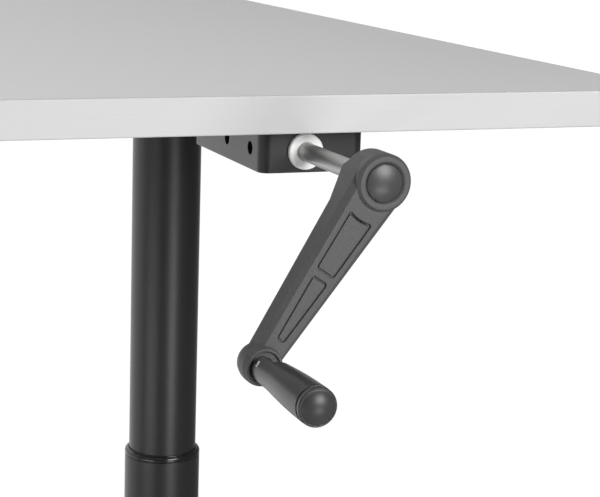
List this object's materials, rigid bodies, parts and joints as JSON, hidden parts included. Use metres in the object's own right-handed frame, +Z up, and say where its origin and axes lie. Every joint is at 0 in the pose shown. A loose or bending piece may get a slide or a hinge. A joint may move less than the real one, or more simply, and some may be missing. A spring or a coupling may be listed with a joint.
{
  "type": "height adjustable standing desk",
  "caption": "Rectangular desk with a light grey top on round telescopic T-foot columns, raised and lowered by a fold-away hand crank under the front edge.",
  "frame": {"origin": "on the floor, in the middle of the whole desk's footprint box with the crank pulled out; the board's own middle is 84.5 mm behind it", "axes": "+X along the board to the end where the crank is, +Y from the user's side to the back, +Z up"},
  "size_m": [1.6, 0.9688, 0.93],
  "materials": {
    "grey_laminate": "matte fine-structured light grey melamine laminate on chipboard",
    "silver_edge": "satin silver-grey ABS edge band with very fine brushed lines",
    "black_powder_coat": "semi-gloss black powder coat on steel",
    "black_plastic": "semi-gloss moulded black plastic",
    "black_rubber": "matte black rubber-faced glide",
    "zinc_plated_steel": "zinc plated steel, slightly cloudy",
    "bright_steel": "drawn and ground satin steel",
    "gear_steel": "sintered steel, lightly oiled",
    "white_plastic": "white acetal, smooth satin",
    "natural_nylon": "natural nylon, waxy",
    "dark_grey_plastic": "dark grey glass-filled plastic with a fine spark-eroded texture",
    "gloss_black_plastic": "smooth glossy black plastic"
  },
  "bodies": {
    "base": {"foot_right": "black_powder_coat", "foot_left": "black_powder_coat", "foot_cap_right_front": "black_plastic", "foot_cap_right_rear": "black_plastic", "foot_cap_left_front": "black_plastic", "foot_cap_left_rear": "black_plastic", "outer_tube_right": "black_powder_coat", "guide_collar_right": "black_plastic", "nut_post_right": "zinc_plated_steel", "lift_nut_right": "natural_nylon", "outer_tube_left": "black_powder_coat", "guide_collar_left": "black_plastic", "nut_post_left": "zinc_plated_steel", "lift_nut_left": "natural_nylon"},
    "upper_frame": {"tabletop": "grey_laminate", "edge_band": "silver_edge", "crossbeam": "black_powder_coat", "front_bracket": "black_powder_coat", "front_bushing": "white_plastic", "rear_bushing": "white_plastic", "bracket_screw_1": "zinc_plated_steel", "bracket_screw_2": "zinc_plated_steel", "bracket_screw_3": "zinc_plated_steel", "bracket_screw_4": "zinc_plated_steel", "support_arm_right": "black_powder_coat", "inner_tube_right": "black_powder_coat", "lower_guide_right": "white_plastic", "gear_case_right": "black_powder_coat", "case_cover_right": "zinc_plated_steel", "screw_bearing_right": "bright_steel", "support_arm_left": "black_powder_coat", "inner_tube_left": "black_powder_coat", "lower_guide_left": "white_plastic", "gear_case_left": "black_powder_coat", "case_cover_left": "zinc_plated_steel", "screw_bearing_left": "bright_steel"},
    "drive_line": {"drive_shaft": "bright_steel", "crank_pinion": "gear_steel"},
    "crank": {"crank_tube": "bright_steel", "crank_arm": "dark_grey_plastic", "hub_cap": "gloss_black_plastic"},
    "spindle": {"handle_spindle": "zinc_plated_steel"},
    "grip": {"handle_grip": "gloss_black_plastic", "grip_cap": "gloss_black_plastic", "fold_pin": "bright_steel"},
    "cross_line": {"cross_shaft": "bright_steel", "cross_gear_crank": "gear_steel", "cross_gear_right": "gear_steel", "cross_gear_left": "gear_steel"},
    "screw_right": {"lift_screw_right": "bright_steel", "screw_gear_right": "gear_steel"},
    "screw_left": {"lift_screw_left": "bright_steel", "screw_gear_left": "gear_steel"},
    "glide_right_front": {"glide_right_front": "black_rubber"},
    "glide_right_rear": {"glide_right_rear": "black_rubber"},
    "glide_left_front": {"glide_left_front": "black_rubber"},
    "glide_left_rear": {"glide_left_rear": "black_rubber"}
  },
  "joints": [
    {"name": "desk_lift", "type": "slide", "parent": "base", "child": "upper_frame", "axis": [0, 0, 1], "range_m": [-0.23, 0.2]},
    {"name": "crank_spin", "type": "hinge", "parent": "upper_frame", "child": "drive_line", "pos_m": [0.5613, 0, 0.8954], "axis": [0, 1, 0], "range_deg": [-13810, 12010]},
    {"name": "crank_retract", "type": "slide", "parent": "drive_line", "child": "crank", "axis": [0, 1, 0], "range_m": [0, 0.07]},
    {"name": "handle_swivel", "type": "hinge", "parent": "crank", "child": "spindle", "pos_m": [0.49788, -0.41, 0.80091], "axis": [0, 1, 0], "continuous": true},
    {"name": "handle_fold", "type": "hinge", "parent": "spindle", "child": "grip", "pos_m": [0.49788, -0.415, 0.80091], "axis": [-0.8303, 0, 0.5573], "range_deg": [0, 84]},
    {"name": "cross_spin", "type": "hinge", "parent": "upper_frame", "child": "cross_line", "pos_m": [0, 0.0845, 0.8954], "axis": [1, 0, 0], "range_deg": [-12010, 13810]},
    {"name": "screw_spin_right", "type": "hinge", "parent": "upper_frame", "child": "screw_right", "pos_m": [0.6, 0.0845, 0.8954], "axis": [0, 0, 1], "range_deg": [-13810, 12010]},
    {"name": "screw_spin_left", "type": "hinge", "parent": "upper_frame", "child": "screw_left", "pos_m": [-0.6, 0.0845, 0.8954], "axis": [0, 0, 1], "range_deg": [-13810, 12010]},
    {"name": "glide_turn_right_front", "type": "hinge", "parent": "base", "child": "glide_right_front", "pos_m": [0.6, -0.2255, 0], "axis": [0, 0, 1], "range_deg": [-1440, 1440]},
    {"name": "glide_turn_right_rear", "type": "hinge", "parent": "base", "child": "glide_right_rear", "pos_m": [0.6, 0.3945, 0], "axis": [0, 0, 1], "range_deg": [-1440, 1440]},
    {"name": "glide_turn_left_front", "type": "hinge", "parent": "base", "child": "glide_left_front", "pos_m": [-0.6, -0.2255, 0], "axis": [0, 0, 1], "range_deg": [-1440, 1440]},
    {"name": "glide_turn_left_rear", "type": "hinge", "parent": "base", "child": "glide_left_rear", "pos_m": [-0.6, 0.3945, 0], "axis": [0, 0, 1], "range_deg": [-1440, 1440]}
  ],
  "couplings": [
    {"joint": "crank_spin", "follows": "desk_lift", "rad_per_m": 1047.2},
    {"joint": "cross_spin", "follows": "desk_lift", "rad_per_m": -1047.2},
    {"joint": "screw_spin_right", "follows": "desk_lift", "rad_per_m": 1047.2},
    {"joint": "screw_spin_left", "follows": "desk_lift", "rad_per_m": 1047.2}
  ]
}
